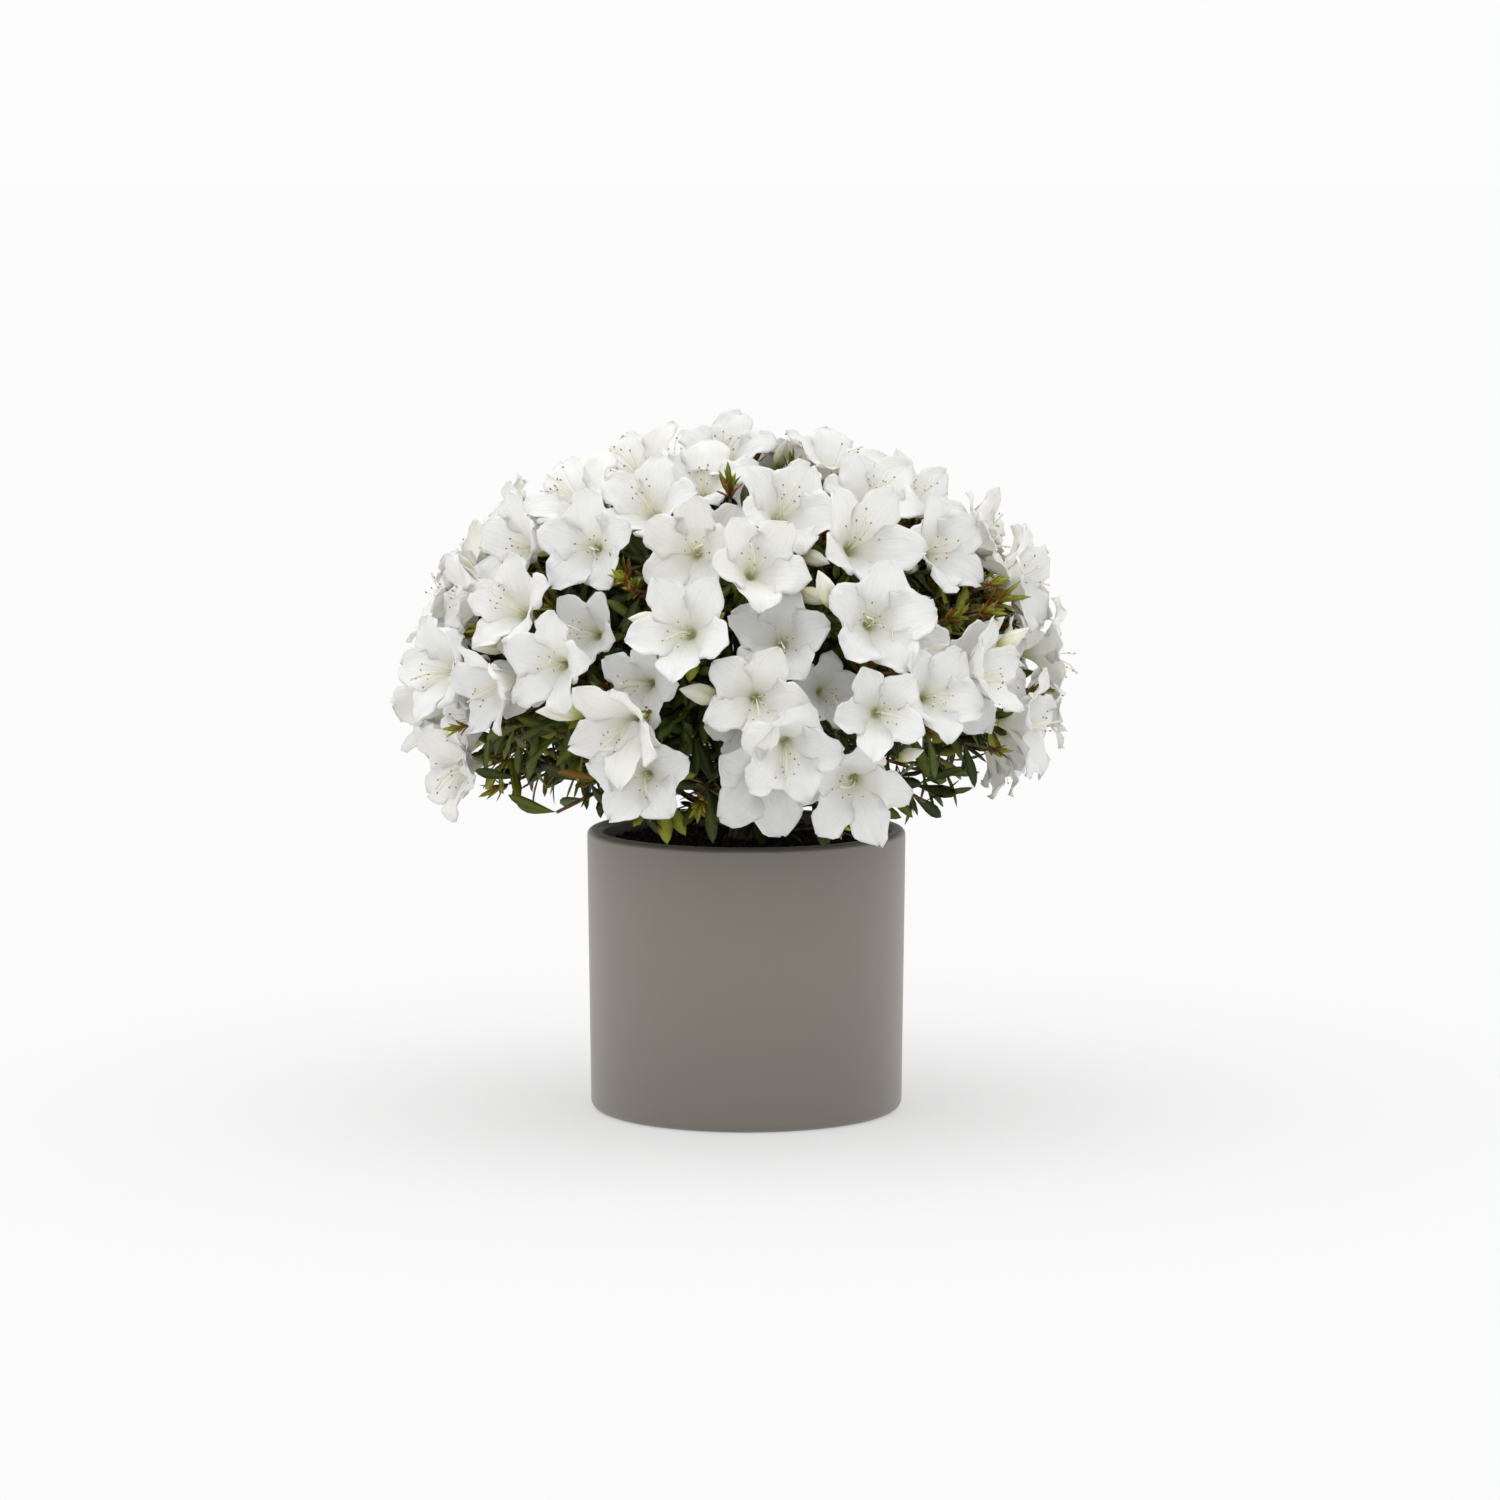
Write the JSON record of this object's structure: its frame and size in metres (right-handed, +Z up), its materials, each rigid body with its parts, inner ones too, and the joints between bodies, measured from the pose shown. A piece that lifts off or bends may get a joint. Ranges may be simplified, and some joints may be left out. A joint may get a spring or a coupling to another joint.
{
  "type": "azalea shrub in a pot",
  "caption": "Rounded evergreen azalea covered in open white funnel-shaped blooms over dark leaves, on a short stem with many boughs, in a straight round grey-brown pot.",
  "frame": {"origin": "centre of the pot's flat underside", "axes": "+Z up along the pot's axis; -Y towards the side of the crown that the picture shows"},
  "size_m": [0.3638, 0.3642, 0.3903],
  "materials": {
    "pot": "matte",
    "soil": "matte",
    "bark": "matte",
    "blossom": "matte",
    "foliage": "matte"
  },
  "bodies": {
    "root": {"pot": "pot", "soil": "soil", "trunk": "bark", "bough_top": "bark", "bough_upper_1": "bark", "bough_upper_2": "bark", "bough_upper_3": "bark", "bough_upper_4": "bark", "bough_lower_1": "bark", "bough_lower_2": "bark", "bough_lower_3": "bark", "bough_lower_4": "bark", "bough_lower_5": "bark", "bough_lower_6": "bark", "bough_lower_7": "bark", "bough_skirt_1": "bark", "bough_skirt_2": "bark", "bough_skirt_3": "bark", "bough_skirt_4": "bark", "mass_top": "blossom", "mass_upper_1": "blossom", "mass_upper_2": "blossom", "mass_upper_3": "blossom", "mass_upper_4": "blossom", "mass_lower_1": "blossom", "mass_lower_2": "blossom", "mass_lower_3": "blossom", "mass_lower_4": "blossom", "mass_lower_5": "blossom", "mass_lower_6": "blossom", "mass_lower_7": "blossom", "mass_skirt_1": "foliage", "mass_skirt_2": "foliage", "mass_skirt_3": "foliage", "mass_skirt_4": "foliage"}
  },
  "joints": []
}
